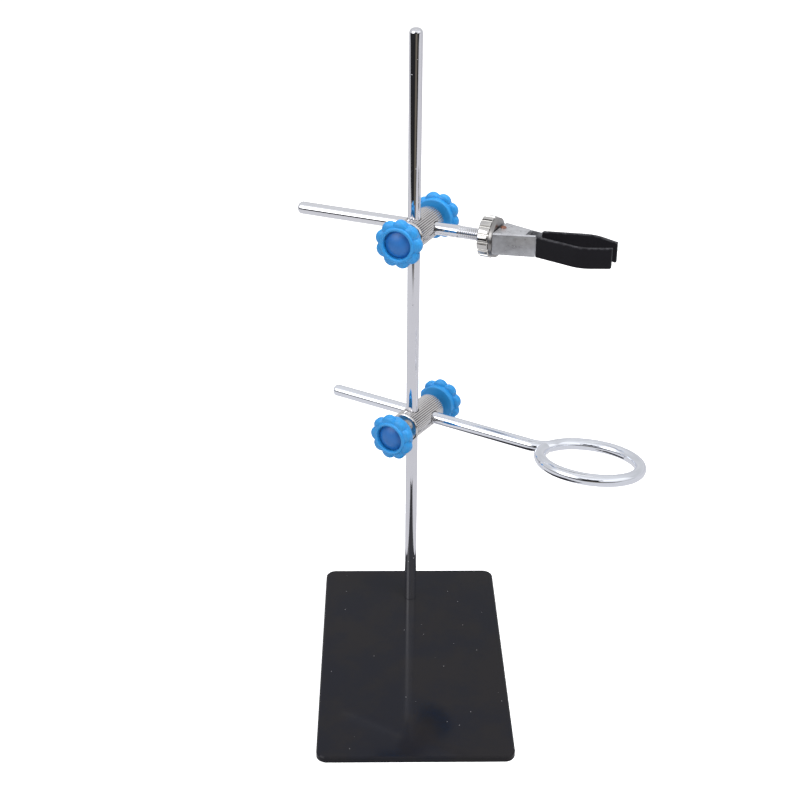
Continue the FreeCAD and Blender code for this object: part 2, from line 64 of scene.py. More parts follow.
alongX = Matrix.Rotation(math.radians(90), 4, "Y")
alongY = Matrix.Rotation(math.radians(-90), 4, "X")
backwardsY = Matrix.Rotation(math.radians(90), 4, "X")
print("frame ready")


# Shader node groups that several finishes share
def newGroup(name, inputs, outputs):
    tree = bpy.data.node_groups.new(name, "ShaderNodeTree")
    for label, kind, value in inputs:
        socket = tree.interface.new_socket(name=label, in_out="INPUT", socket_type=kind)
        if value is not None:
            socket.default_value = value
    for label, kind in outputs:
        tree.interface.new_socket(name=label, in_out="OUTPUT", socket_type=kind)
    return tree, tree.nodes.new("NodeGroupInput"), tree.nodes.new("NodeGroupOutput")


def addNode(tree, kind, values=None, **settings):
    node = tree.nodes.new(kind)
    for key, value in settings.items():
        setattr(node, key, value)
    for key, value in (values or {}).items():
        node.inputs[key].default_value = value
    return node


def mathNode(tree, operation, first, second=None, clamp=False):
    node = addNode(tree, "ShaderNodeMath", operation=operation, use_clamp=clamp)
    for index, value in enumerate((first, second)):
        if value is None:
            continue
        if isinstance(value, (int, float)):
            node.inputs[index].default_value = value
        else:
            tree.links.new(value, node.inputs[index])
    return node.outputs[0]


def fineScratchGroup():
    # Long hairline scratches and a slow unevenness, for metal and plastic
    tree, start, end = newGroup(
        "fineScratches",
        [("Vector", "NodeSocketVector", None), ("Scratch Scale", "NodeSocketFloat", 1.0),
         ("Haze Scale", "NodeSocketFloat", 0.15)],
        [("Scratches", "NodeSocketFloat"), ("Haze", "NodeSocketFloat")])
    links = tree.links
    stretch = addNode(tree, "ShaderNodeMapping")
    stretch.inputs["Scale"].default_value = (0.12, 2.4, 2.4)
    links.new(start.outputs["Vector"], stretch.inputs["Vector"])
    hair = addNode(tree, "ShaderNodeTexNoise", {"Detail": 3.0, "Roughness": 0.55})
    links.new(stretch.outputs[0], hair.inputs["Vector"])
    links.new(start.outputs["Scratch Scale"], hair.inputs["Scale"])
    band = addNode(tree, "ShaderNodeMapRange", {"From Min": 0.58, "From Max": 0.74})
    links.new(hair.outputs[0], band.inputs["Value"])
    haze = addNode(tree, "ShaderNodeTexNoise", {"Detail": 4.0, "Roughness": 0.6})
    links.new(start.outputs["Vector"], haze.inputs["Vector"])
    links.new(start.outputs["Haze Scale"], haze.inputs["Scale"])
    links.new(band.outputs[0], end.inputs["Scratches"])
    links.new(haze.outputs[0], end.inputs["Haze"])
    return tree


def speckGroup():
    # Scattered small specks, such as dust on gloss enamel
    tree, start, end = newGroup(
        "dustSpecks",
        [("Vector", "NodeSocketVector", None), ("Spacing", "NodeSocketFloat", 0.3),
         ("Size", "NodeSocketFloat", 0.1), ("Share", "NodeSocketFloat", 0.3)],
        [("Mask", "NodeSocketFloat")])
    links = tree.links
    cells = addNode(tree, "ShaderNodeTexVoronoi", {"Randomness": 1.0})
    links.new(start.outputs["Vector"], cells.inputs["Vector"])
    links.new(start.outputs["Spacing"], cells.inputs["Scale"])
    near = mathNode(tree, "LESS_THAN", cells.outputs["Distance"], start.outputs["Size"])
    pick = addNode(tree, "ShaderNodeSeparateColor")
    links.new(cells.outputs["Color"], pick.inputs[0])
    chosen = mathNode(tree, "LESS_THAN", pick.outputs[0], start.outputs["Share"])
    links.new(mathNode(tree, "MULTIPLY", near, chosen), end.inputs["Mask"])
    return tree


scratchTree = fineScratchGroup()
speckTree = speckGroup()


def newMaterial(name, colour, roughness, metallic=0.0):
    material = bpy.data.materials.new(name)
    material.use_nodes = True
    tree = material.node_tree
    shader = tree.nodes["Principled BSDF"]
    shader.inputs["Base Color"].default_value = (*colour, 1)
    shader.inputs["Roughness"].default_value = roughness
    shader.inputs["Metallic"].default_value = metallic
    return material, tree, shader


def pieceVector(tree, turn=(0.0, 0.0, 0.0)):
    # Object coordinates in millimetres, turned to lie along the piece
    place = addNode(tree, "ShaderNodeTexCoord")
    mapping = addNode(tree, "ShaderNodeMapping")
    mapping.inputs["Scale"].default_value = (1000, 1000, 1000)
    mapping.inputs["Rotation"].default_value = [math.radians(angle) for angle in turn]
    tree.links.new(place.outputs["Object"], mapping.inputs["Vector"])
    return mapping.outputs[0]


def useGroup(tree, group, vector, **values):
    node = addNode(tree, "ShaderNodeGroup", node_tree=group)
    tree.links.new(vector, node.inputs["Vector"])
    for key, value in values.items():
        node.inputs[key.replace("_", " ")].default_value = value
    return node


def spread(tree, value, low, high):
    node = addNode(tree, "ShaderNodeMapRange", {"To Min": low, "To Max": high})
    tree.links.new(value, node.inputs["Value"])
    return node.outputs[0]


def ease(tree, value, low, high, start=0.0, end=1.0):
    node = addNode(tree, "ShaderNodeMapRange", {"From Min": low, "From Max": high, "To Min": start, "To Max": end},
                   interpolation_type="SMOOTHSTEP")
    tree.links.new(value, node.inputs["Value"])
    return node.outputs[0]


def blendColours(tree, factor, first, second):
    # each may be a fixed value or the output of another node
    node = addNode(tree, "ShaderNodeMix", data_type="RGBA")
    for index, value in ((0, factor), (6, first), (7, second)):
        if isinstance(value, tuple):
            node.inputs[index].default_value = (*value, 1)
        else:
            tree.links.new(value, node.inputs[index])
    return node.outputs[2]


def addBump(tree, shader, height, strength, distance):
    bump = addNode(tree, "ShaderNodeBump", {"Strength": strength, "Distance": distance})
    tree.links.new(height, bump.inputs["Height"])
    tree.links.new(bump.outputs[0], shader.inputs["Normal"])
    return bump


# A plated or bare metal: even tone, faint haze, hairlines along the piece
def metalFinish(name, colour, darker, roughness, haze, turn=(0, 0, 0), scratchScale=0.9, scratch=0.05,
                bumpHeight=0.0000015, metallic=1.0, pits=0.0, paintedGrooveShade=0.0, hazeScale=0.12):
    material, tree, shader = newMaterial(name, colour, roughness, metallic)
    vector = pieceVector(tree, turn)
    marks = useGroup(tree, scratchTree, vector, Scratch_Scale=scratchScale, Haze_Scale=hazeScale)
    specks = useGroup(tree, speckTree, vector, Spacing=0.45, Size=0.16, Share=pits)
    tone = blendColours(tree, marks.outputs["Haze"], darker, colour)
    if paintedGrooveShade:
        # painted shade: the floors of fine grooves, found by pointiness, are darkened
        shape = addNode(tree, "ShaderNodeNewGeometry")
        low = ease(tree, shape.outputs["Pointiness"], 0.5, 0.42, 0.0, paintedGrooveShade)
        tone = blendColours(tree, low, tone, (0.04, 0.04, 0.045))
    tree.links.new(tone, shader.inputs["Base Color"])
    rough = mathNode(tree, "ADD", spread(tree, marks.outputs["Haze"], roughness, roughness + haze),
                     mathNode(tree, "MULTIPLY", marks.outputs["Scratches"], scratch))
    rough = mathNode(tree, "ADD", rough, mathNode(tree, "MULTIPLY", specks.outputs["Mask"], 0.45))
    tree.links.new(rough, shader.inputs["Roughness"])
    addBump(tree, shader, marks.outputs["Scratches"], 0.25, bumpHeight)
    return material


def glossEnamel():
    look = {"colour": (0.009, 0.0095, 0.014), "smear": (0.0125, 0.0115, 0.013), "roughness": 0.1,
            "dust": (0.22, 0.22, 0.23)}
    material, tree, shader = newMaterial("glossEnamel", look["colour"], look["roughness"])
    shader.inputs["Specular IOR Level"].default_value = 0.13
    vector = pieceVector(tree)
    dust = useGroup(tree, speckTree, vector, Spacing=0.2, Size=0.045, Share=0.5)
    marks = useGroup(tree, scratchTree, vector, Scratch_Scale=0.5, Haze_Scale=0.05)
    smears = addNode(tree, "ShaderNodeTexNoise", {"Scale": 0.035, "Detail": 5.0, "Roughness": 0.65})
    tree.links.new(vector, smears.inputs["Vector"])
    ground = blendColours(tree, ease(tree, smears.outputs[0], 0.38, 0.62), look["colour"], look["smear"])
    tree.links.new(blendColours(tree, dust.outputs["Mask"], ground, look["dust"]), shader.inputs["Base Color"])
    rough = mathNode(tree, "ADD", spread(tree, marks.outputs["Haze"], 0.06, 0.13),
                     mathNode(tree, "MULTIPLY", dust.outputs["Mask"], 0.4))
    tree.links.new(rough, shader.inputs["Roughness"])
    peel = addNode(tree, "ShaderNodeTexNoise", {"Scale": 0.7, "Detail": 2.0})
    tree.links.new(vector, peel.inputs["Vector"])
    addBump(tree, shader, peel.outputs[0], 0.1, 0.00001)
    return material


def bluePlastic(name, colour, deeper):
    material, tree, shader = newMaterial(name, colour, 0.36)
    vector = pieceVector(tree)
    marks = useGroup(tree, scratchTree, vector, Scratch_Scale=0.8, Haze_Scale=0.25)
    tree.links.new(blendColours(tree, marks.outputs["Haze"], deeper, colour), shader.inputs["Base Color"])
    rough = mathNode(tree, "ADD", spread(tree, marks.outputs["Haze"], 0.3, 0.42),
                     mathNode(tree, "MULTIPLY", marks.outputs["Scratches"], 0.1))
    tree.links.new(rough, shader.inputs["Roughness"])
    grain = addNode(tree, "ShaderNodeTexNoise", {"Scale": 3.5, "Detail": 2.0})
    tree.links.new(vector, grain.inputs["Vector"])
    addBump(tree, shader, grain.outputs[0], 0.15, 0.00003)
    return material


def blackSleeve():
    look = {"colour": (0.0105, 0.01, 0.0125), "paintedEdgeHighlight": (0.04, 0.04, 0.045)}
    material, tree, shader = newMaterial("blackSleeve", look["colour"], 0.5)
    shader.inputs["Specular IOR Level"].default_value = 0.09
    vector = pieceVector(tree)
    marks = useGroup(tree, scratchTree, vector, Scratch_Scale=1.2, Haze_Scale=0.5)
    # painted highlight along the upper edges, broken up by haze noise
    split = addNode(tree, "ShaderNodeSeparateXYZ")
    tree.links.new(vector, split.inputs[0])
    upperEdgeBand = ease(tree, split.outputs[2], heads["upper"]["height"] + 4.1, heads["upper"]["height"] + 4.6)
    paintedEdgeHighlight = mathNode(tree, "MULTIPLY", upperEdgeBand, ease(tree, marks.outputs["Haze"], 0.4, 0.62))
    tree.links.new(blendColours(tree, paintedEdgeHighlight, look["colour"], look["paintedEdgeHighlight"]), shader.inputs["Base Color"])
    tree.links.new(spread(tree, marks.outputs["Haze"], 0.42, 0.6), shader.inputs["Roughness"])
    grain = addNode(tree, "ShaderNodeTexNoise", {"Scale": 2.2, "Detail": 4.0})
    tree.links.new(vector, grain.inputs["Vector"])
    addBump(tree, shader, grain.outputs[0], 0.3, 0.00006)
    return material


upTurn, lowTurn = heads["upper"]["turn"], heads["lower"]["turn"]
finishes = {
    "enamel": glossEnamel(),
    "chromeUpright": metalFinish("chromeUpright", (0.82, 0.82, 0.85), (0.76, 0.76, 0.8), 0.045, 0.04,
                                 turn=(0, 90, 0), pits=0.12),
    "chromeUpperArm": metalFinish("chromeUpperArm", (0.88, 0.885, 0.91), (0.8, 0.805, 0.84), 0.045, 0.04,
                                  turn=(0, 0, upTurn), pits=0.12),
    # the ring's chrome is lighter and bluer than the other rods': painted reflection of the bright sky on its top
    "chromeRingPaintedSkySheen": metalFinish("chromeRingPaintedSkySheen", (0.9, 0.92, 0.97), (0.82, 0.845, 0.9), 0.045, 0.04,
                              turn=(0, 0, lowTurn), pits=0.12),
    "nickelUpper": metalFinish("nickelUpper", (0.8, 0.78, 0.77), (0.7, 0.68, 0.67), 0.16, 0.1,
                               turn=(0, 0, upTurn - 90), paintedGrooveShade=0.7),
    "nickelLower": metalFinish("nickelLower", (0.8, 0.78, 0.77), (0.7, 0.68, 0.67), 0.16, 0.1,
                               turn=(0, 0, lowTurn - 90), paintedGrooveShade=0.7),
    "nickelNut": metalFinish("nickelNut", (0.74, 0.725, 0.7), (0.62, 0.605, 0.58), 0.06, 0.06,
                             turn=(0, 0, upTurn), paintedGrooveShade=0.85),
    "collarSteel": metalFinish("collarSteel", (0.42, 0.41, 0.4), (0.3, 0.29, 0.28), 0.24, 0.1, turn=(0, 0, upTurn)),
    "zincSheet": metalFinish("zincSheet", (0.72, 0.73, 0.76), (0.32, 0.32, 0.34), 0.2, 0.2, turn=(0, 0, upTurn),
                             scratchScale=1.4, scratch=0.12, metallic=0.75, hazeScale=0.4),
    "copperRivet": metalFinish("copperRivet", (0.5, 0.25, 0.18), (0.26, 0.12, 0.09), 0.26, 0.2),
    "springSteel": metalFinish("springSteel", (0.5, 0.5, 0.52), (0.4, 0.4, 0.42), 0.25, 0.1),
    "blue": bluePlastic("bluePlastic", (0.025, 0.285, 0.66), (0.018, 0.23, 0.58)),
    # the cap's blue is a darker copy of the knob's blue: painted shade for the cap sunk in its ring
    "shadedBlueCap": bluePlastic("shadedBlueCap", (0.014, 0.15, 0.47), (0.011, 0.12, 0.4)),
    "sleeve": blackSleeve(),
}
print("finishes ready")


# Mesh makers. Turned pieces are made round Z, in millimetres, then placed.
def meshObject(name, verts, faces):
    mesh = bpy.data.meshes.new(name)
    mesh.from_pydata([Vector(v) * mm for v in verts], [], faces)
    mesh.validate()
    piece = bpy.data.objects.new(name, mesh)
    scene.collection.objects.link(piece)
    return piece


def turnedRows(rows, angles, closed):
    # rows are functions of the angle that give (radius, height)
    verts, faces = [], []
    steps = len(angles)
    for row in rows:
        for angle in angles:
            radius, height = row(angle)
            verts.append((radius * math.cos(angle), radius * math.sin(angle), height))
    around = steps if closed else steps - 1
    for level in range(len(rows) - 1):
        for step in range(around):
            a = level * steps + step
            b = level * steps + (step + 1) % steps
            faces.append((a, b, b + steps, a + steps))
    return verts, faces


def turned(name, profile, steps=96):
    rows = [lambda angle, r=radius, h=height: (r, h) for height, radius in profile]
    angles = [2 * math.pi * step / steps for step in range(steps)]
    verts, faces = turnedRows(rows, angles, True)
    piece = meshObject(name, verts, faces)
    cleanMesh(piece.data)
    return piece


def cleanMesh(mesh, distance=0.000002):
    shape = bmesh.new()
    shape.from_mesh(mesh)
    bmesh.ops.remove_doubles(shape, verts=shape.verts, dist=distance)
    bmesh.ops.dissolve_degenerate(shape, edges=shape.edges, dist=distance)
    loose = [edge for edge in shape.edges if edge.is_boundary]
    if loose:
        bmesh.ops.holes_fill(shape, edges=loose, sides=0)
    bmesh.ops.recalc_face_normals(shape, faces=shape.faces)
    shape.to_mesh(mesh)
    shape.free()


def arcPoints(centre, radius, start, end, steps):
    points = []
    for step in range(steps + 1):
        angle = math.radians(start + (end - start) * step / steps)
        points.append((centre[0] + radius * math.cos(angle), centre[1] + radius * math.sin(angle)))
    return points


def settle(piece):
    # the evaluated shape becomes the mesh, and the modifiers go
    graph = bpy.context.evaluated_depsgraph_get()
    made = bpy.data.meshes.new_from_object(piece.evaluated_get(graph))
    piece.modifiers.clear()
    piece.data = made


def dress(piece, place, body, finish, replaced=(), crease=35.0):
    piece.data.transform(place)
    piece.data.materials.clear()
    piece.data.materials.append(finishes[finish])
    piece.data.shade_smooth()
    piece.data.set_sharp_from_angle(angle=math.radians(crease))
    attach(piece, body)
    if replaced:
        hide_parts(*replaced)
    return piece


def cut(piece, cutters):
    for cutter in cutters:
        tool = piece.modifiers.new("cut", "BOOLEAN")
        tool.operation, tool.solver, tool.object = "DIFFERENCE", "EXACT", cutter
    settle(piece)
    for cutter in cutters:
        bpy.data.objects.remove(cutter)


def join(piece, others):
    for other in others:
        tool = piece.modifiers.new("join", "BOOLEAN")
        tool.operation, tool.solver, tool.object = "UNION", "EXACT", other
    settle(piece)
    for other in others:
        bpy.data.objects.remove(other)


# Geometry Nodes: one tree repeats a slice round an axis, the other cuts a
# screw thread into a turned shank.
def geometryTree(name, inputs):
    tree = bpy.data.node_groups.new(name, "GeometryNodeTree")
    tree.interface.new_socket(name="Geometry", in_out="INPUT", socket_type="NodeSocketGeometry")
    for label, kind, value in inputs:
        socket = tree.interface.new_socket(name=label, in_out="INPUT", socket_type=kind)
        if value is not None:
            socket.default_value = value
    tree.interface.new_socket(name="Geometry", in_out="OUTPUT", socket_type="NodeSocketGeometry")
    return tree, tree.nodes.new("NodeGroupInput"), tree.nodes.new("NodeGroupOutput")


def repeatTree():
    tree, start, end = geometryTree("repeatRoundAxis", [
        ("Count", "NodeSocketInt", 9), ("Merge Distance", "NodeSocketFloat", 0.000004),
        ("Material", "NodeSocketMaterial", None)])
    links = tree.links
    line = addNode(tree, "GeometryNodeMeshLine")
    line.inputs["Offset"].default_value = (0, 0, 0)
    links.new(start.outputs["Count"], line.inputs["Count"])
    place = addNode(tree, "GeometryNodeInstanceOnPoints")
    links.new(line.outputs["Mesh"], place.inputs["Points"])
    links.new(start.outputs["Geometry"], place.inputs["Instance"])
    number = addNode(tree, "GeometryNodeInputIndex")
    share = mathNode(tree, "DIVIDE", number.outputs[0], start.outputs["Count"])
    angle = mathNode(tree, "MULTIPLY", share, math.tau)
    combine = addNode(tree, "ShaderNodeCombineXYZ")
    links.new(angle, combine.inputs["Z"])
    links.new(combine.outputs[0], place.inputs["Rotation"])
    real = addNode(tree, "GeometryNodeRealizeInstances")
    links.new(place.outputs["Instances"], real.inputs["Geometry"])
    merge = addNode(tree, "GeometryNodeMergeByDistance")
    links.new(real.outputs["Geometry"], merge.inputs["Geometry"])
    links.new(start.outputs["Merge Distance"], merge.inputs["Distance"])
    paint = addNode(tree, "GeometryNodeSetMaterial")
    links.new(merge.outputs["Geometry"], paint.inputs["Geometry"])
    links.new(start.outputs["Material"], paint.inputs["Material"])
    links.new(paint.outputs["Geometry"], end.inputs["Geometry"])
    return tree


def threadTree():
    tree, start, end = geometryTree("cutThread", [
        ("Pitch", "NodeSocketFloat", 0.001), ("Depth", "NodeSocketFloat", 0.0005),
        ("Start", "NodeSocketFloat", 0.0), ("End", "NodeSocketFloat", 0.01),
        ("Fade", "NodeSocketFloat", 0.0006), ("Material", "NodeSocketMaterial", None)])
    links = tree.links
    place = addNode(tree, "GeometryNodeInputPosition")
    split = addNode(tree, "ShaderNodeSeparateXYZ")
    links.new(place.outputs[0], split.inputs[0])
    x, y, z = split.outputs
    turn = mathNode(tree, "DIVIDE", mathNode(tree, "ARCTAN2", y, x), math.tau)
    phase = mathNode(tree, "SUBTRACT", mathNode(tree, "DIVIDE", z, start.outputs["Pitch"]), turn)
    saw = mathNode(tree, "FRACT", phase)
    groove = mathNode(tree, "MULTIPLY", mathNode(tree, "ABSOLUTE", mathNode(tree, "SUBTRACT", saw, 0.5)), 2)
    groove = mathNode(tree, "SMOOTH_MIN", groove, 0.92)
    after = mathNode(tree, "DIVIDE", mathNode(tree, "SUBTRACT", z, start.outputs["Start"]),
                     start.outputs["Fade"], clamp=True)
    before = mathNode(tree, "DIVIDE", mathNode(tree, "SUBTRACT", start.outputs["End"], z),
                      start.outputs["Fade"], clamp=True)
    depth = mathNode(tree, "MULTIPLY", start.outputs["Depth"], mathNode(tree, "MULTIPLY", after, before))
    inward = mathNode(tree, "MULTIPLY", depth, groove)
    flat = mathNode(tree, "SQRT", mathNode(
        tree, "ADD", mathNode(tree, "MULTIPLY", x, x), mathNode(tree, "MULTIPLY", y, y)))
    # only the outer wall moves: points near the axis belong to the end faces
    outer = mathNode(tree, "GREATER_THAN", flat, 0.0022)
    share = mathNode(tree, "SUBTRACT", 1.0, mathNode(
        tree, "MULTIPLY", outer, mathNode(tree, "DIVIDE", inward, mathNode(tree, "MAXIMUM", flat, 0.0001))))
    moved = addNode(tree, "ShaderNodeCombineXYZ")
    links.new(mathNode(tree, "MULTIPLY", x, share), moved.inputs[0])
    links.new(mathNode(tree, "MULTIPLY", y, share), moved.inputs[1])
    links.new(z, moved.inputs[2])
    shift = addNode(tree, "GeometryNodeSetPosition")
    links.new(start.outputs["Geometry"], shift.inputs["Geometry"])
    links.new(moved.outputs[0], shift.inputs["Position"])
    real = addNode(tree, "GeometryNodeRealizeInstances")
    links.new(shift.outputs["Geometry"], real.inputs["Geometry"])
    paint = addNode(tree, "GeometryNodeSetMaterial")
    links.new(real.outputs["Geometry"], paint.inputs["Geometry"])
    links.new(start.outputs["Material"], paint.inputs["Material"])
    links.new(paint.outputs["Geometry"], end.inputs["Geometry"])
    return tree


repeatRoundAxis = repeatTree()
cutThread = threadTree()


def runTree(piece, tree, **values):
    grower = piece.modifiers.new("grow", "NODES")
    grower.node_group = tree
    sockets = {item.name: item.identifier for item in tree.interface.items_tree
               if item.item_type == "SOCKET" and item.in_out == "INPUT"}
    for name, value in values.items():
        grower[sockets[name.replace("_", " ")]] = value
    settle(piece)


print("node trees ready")


# Base plate: the CAD solid has its shape already
nodes["base_plate"].data.materials.clear()
nodes["base_plate"].data.materials.append(finishes["enamel"])


# Upright rod, with its rounded top and the spigot inside the plate
def uprightRod():
    r, top, tip = stand["rodRadius"], stand["rodTop"], stand["tipRound"]
    shoulder, spigot, edge = stand["shoulder"], stand["spigot"], stand["spigotEdge"]
    profile = [(0.0, 0.0), (0.0, spigot - edge), (edge, spigot), (shoulder, spigot),
               (shoulder, r - stand["edge"]), (shoulder + stand["edge"], r)]
    profile += [(shoulder + 1 + step * 5.9, r) for step in range(50)]
    profile += [(y, x) for x, y in arcPoints((r - tip, top - tip), tip, 0, 90, 12)]
    profile.append((top, 0.0))
    piece = turned("uprightRod", profile, 96)
    place = Matrix.Translation(Vector((stand["rodX"], stand["rodY"], 0)) * mm)
    dress(piece, place, "upright", "chromeUpright", ["upright_rod"])


uprightRod()
print("upright made")


# Boss head barrels: one flute is made as a slice and repeated round
barrel = {"radius": 7.4, "front": -7.5, "rear": 19.0, "chamfer": 0.6, "flutes": 44, "fluteDepth": 0.45,
          "boreRadius": 3.35, "threadRadius": 3.05, "fluteSteps": 8, "boreHalf": 9, "threadEnd": 21}


def fluteRadius(angle):
    # rounded crests with narrow valleys between them
    wave = 0.5 + 0.5 * math.cos(barrel["flutes"] * angle)
    return barrel["radius"] - barrel["fluteDepth"] * wave ** 1.4


def barrelPiece(side, head):
    radius, chamfer = barrel["radius"], barrel["chamfer"]
    front, rear = barrel["front"], barrel["rear"]
    inner = radius - chamfer
    rows = [lambda a: (0.0, front), lambda a: (inner - 0.05, front), lambda a: (inner, front + 0.02),
            lambda a: (radius - 0.05, front + chamfer - 0.03), lambda a: (radius, front + chamfer + 0.05),
            lambda a: (fluteRadius(a), front + chamfer + 0.35)]
    for share in (0.25, 0.5, 0.75):
        level = front + (rear - front) * share
        rows.append(lambda a, h=level: (fluteRadius(a), h))
    # the flutes run out through the rear chamfer
    for share in (0.0, 0.25, 0.5, 0.75):
        level = rear - chamfer * (1 - share)
        rows.append(lambda a, h=level, s=share: (min(radius - chamfer * s, fluteRadius(a)), h))
    rows += [lambda a: (inner, rear - 0.02), lambda a: (inner - 0.05, rear), lambda a: (0.0, rear)]
    steps = barrel["fluteSteps"]
    angles = [math.tau / barrel["flutes"] * step / steps for step in range(steps + 1)]
    verts, faces = turnedRows(rows, angles, False)
    piece = meshObject(f"{side}Barrel", verts, faces)
    finish = "nickelUpper" if side == "upper" else "nickelLower"
    runTree(piece, repeatRoundAxis, Count=barrel["flutes"], Material=finishes[finish])
    cleanMesh(piece.data)
    piece.data.transform(alongY)
    bore, thread = barrel["boreRadius"], barrel["threadRadius"]
    half, threadEnd = barrel["boreHalf"], barrel["threadEnd"]
    upright = turned("uprightBore", [(-half, 0), (-half, bore), (half, bore), (half, 0)], 96)
    arm = turned("armBore", [(-half, 0), (-half, bore), (half, bore), (half, 0)], 96)
    arm.data.transform(Matrix.Translation((0, armOffset * mm, 0)) @ alongX)
    frontHole = turned("frontThread", [(-1, 0), (-1, thread), (half, thread), (half, 0)], 96)
    frontHole.data.transform(backwardsY)
    rearHole = turned("rearThread", [(armOffset, 0), (armOffset, thread), (threadEnd, thread), (threadEnd, 0)], 96)
    rearHole.data.transform(alongY)
    cut(piece, [upright, arm, frontHole, rearHole])
    dress(piece, headPlace(head), f"{side}_boss", finish, [f"{side}_barrel"], 42)


for side, head in heads.items():
    barrelPiece(side, head)
print("barrels made")


# Clamping screws
screw = {"radius": 3.0, "pitch": 1.0, "depth": 0.5, "inKnob": 4.2, "tipGap": 0.1, "ringsPerTurn": 10}


def threadedShank(name, start, end, radius, first, last, chamfer=0.5):
    profile = [(start, 0.0), (start, radius - chamfer), (start + chamfer, radius)]
    rings = int((end - start) / screw["pitch"] * screw["ringsPerTurn"])
    for ring in range(1, rings):
        level = start + (end - start) * ring / rings
        if start + chamfer < level < end:
            profile.append((level, radius))
    profile += [(end, radius), (end, 0.0)]
    piece = turned(name, profile, 48)
    runTree(piece, cutThread, Pitch=screw["pitch"] * mm, Depth=screw["depth"] * mm,
            Start=first * mm, End=last * mm, Fade=0.6 * mm)
    return piece


def clampScrew(side, head, which):
    rear = which == "arm"
    start = (armOffset if rear else 0.0) + 3.0 + screw["tipGap"]
    seat = head["armSeat"] if rear else head["rodSeat"]
    piece = threadedShank(f"{side}{which.title()}Screw", start, seat + screw["inKnob"], screw["radius"],
                          start, seat + screw["inKnob"])
    piece.data.transform(alongY if rear else backwardsY)
    dress(piece, headPlace(head), f"{side}_{which}_screw", "nickelNut", [f"{side}_{which}_screw"], 50)


# Knobs: one petal is made as a slice and repeated round. The petal's skin
# bulges on both faces, so that creases run in between neighbours.
knob = {"petals": 9, "tip": 11.5, "petalRadius": 3.9, "hubRadius": 9.3, "hubThick": 2.4, "petalThick": 4.8,
        "frontBulge": 1.8, "backBulge": 1.6, "ringOuter": 8.5, "ringInner": 6.65, "ringProud": 0.7,
        "capRadius": 6.35, "capDrop": 0.0, "capRise": 2.1, "wellDepth": 2.4, "sliceSteps": 20, "socket": 3.05,
        "socketDepth": 4.25, "hubRound": 0.7, "ringOuterRound": 0.9, "ringInnerRound": 0.85}


def petalEdge(angle):
    centre = knob["tip"] - knob["petalRadius"]
    side = centre * math.sin(angle)
    return centre * math.cos(angle) + math.sqrt(knob["petalRadius"] ** 2 - side ** 2)


def petalDrop(radius, angle, bulge):
    # how far the petal's skin falls below its crown
    centre = knob["tip"] - knob["petalRadius"]
    reach = math.hypot(radius * math.cos(angle) - centre, radius * math.sin(angle))
    share = min(1.0, reach / knob["petalRadius"])
    return bulge * (1 - (1 - share ** 2.8) ** 0.45)


def knobSlice():
    back, hub, outer = knob["hubThick"], knob["hubRadius"], knob["ringOuter"]
    face = back + knob["petalThick"]
    ringTop = face + knob["ringProud"]
    rows = []

    def add(points):
        rows.extend(lambda a, r=radius, h=height: (r, h) for radius, height in points)

    def petalSkin(start, height, bulge, shares):
        for share in shares:
            rows.append(lambda a, s=share: (start + (petalEdge(a) - start) * s,
                                            height + petalDrop(start + (petalEdge(a) - start) * s, a, bulge)))

    hubRound, outerRound, innerRound = knob["hubRound"], knob["ringOuterRound"], knob["ringInnerRound"]
    add([(knob["socket"], knob["socketDepth"]), (knob["socket"], 0.0)])
    add(arcPoints((hub - hubRound, hubRound), hubRound, -90, 0, 6))
    add([(hub, back + 0.4)])
    steps = 14
    outwards = [math.sin(math.pi / 2 * step / steps) for step in range(steps + 1)]
    petalSkin(hub, back, knob["backBulge"], outwards)
    petalSkin(outer, face, -knob["frontBulge"], outwards[::-1])
    add(arcPoints((outer - outerRound, ringTop - outerRound), outerRound, 15, 90, 7))
    add(arcPoints((knob["ringInner"] + innerRound, ringTop - innerRound), innerRound, 90, 180, 7))
    add([(knob["ringInner"], ringTop - knob["wellDepth"]), (0.0, ringTop - knob["wellDepth"])])
    half = math.pi / knob["petals"]
    angles = [-half + 2 * half * step / knob["sliceSteps"] for step in range(knob["sliceSteps"] + 1)]
    return turnedRows(rows, angles, False)


knobVerts, knobFaces = knobSlice()


def knobCap(name):
    # the plug in the middle of the face, gently domed, low at its rim
    top = knob["hubThick"] + knob["petalThick"] + knob["ringProud"] - knob["capDrop"]
    radius, rise = knob["capRadius"], knob["capRise"]
    profile = [(top - rise - 0.4, 0.0), (top - rise - 0.4, radius)]
    for step in range(16, -1, -1):
        share = math.sin(math.pi / 2 * step / 16)
        profile.append((top - rise * share ** 2.2, radius * share))
    return turned(name, profile, 72)


def knobPiece(side, head, which):
    rear = which == "arm"
    seat = head["armSeat"] if rear else head["rodSeat"]
    petalTurn = Matrix.Rotation(math.radians(head["petalTurns"][1 if rear else 0]), 4, "Z")
    outwards = (alongY if rear else backwardsY) @ Matrix.Translation((0, 0, seat * mm)) @ petalTurn
    node = f"{side}_{which}_knob"
    piece = meshObject(f"{side}{which.title()}Knob", knobVerts, knobFaces)
    runTree(piece, repeatRoundAxis, Count=knob["petals"], Material=finishes["blue"])
    cleanMesh(piece.data)
    dress(piece, headPlace(head) @ outwards, node, "blue", [node], 48)
    cap = knobCap(f"{side}{which.title()}KnobCap")
    dress(cap, headPlace(head) @ outwards, node, "shadedBlueCap")


for side, head in heads.items():
    for which in ("rod", "arm"):
        clampScrew(side, head, which)
        knobPiece(side, head, which)
print("screws and knobs made")


# Clamp arm: smooth rod, thread under the nut, flats at the pivot
clampArm = {"rear": -65.5, "front": 46.0, "threadStart": 18.5, "threadEnd": 36.3, "flatStart": 36.5,
            "flatHalf": 2.2, "pivot": 40.2, "rivetRadius": 1.1, "radius": 3.0, "tip": 2.2}


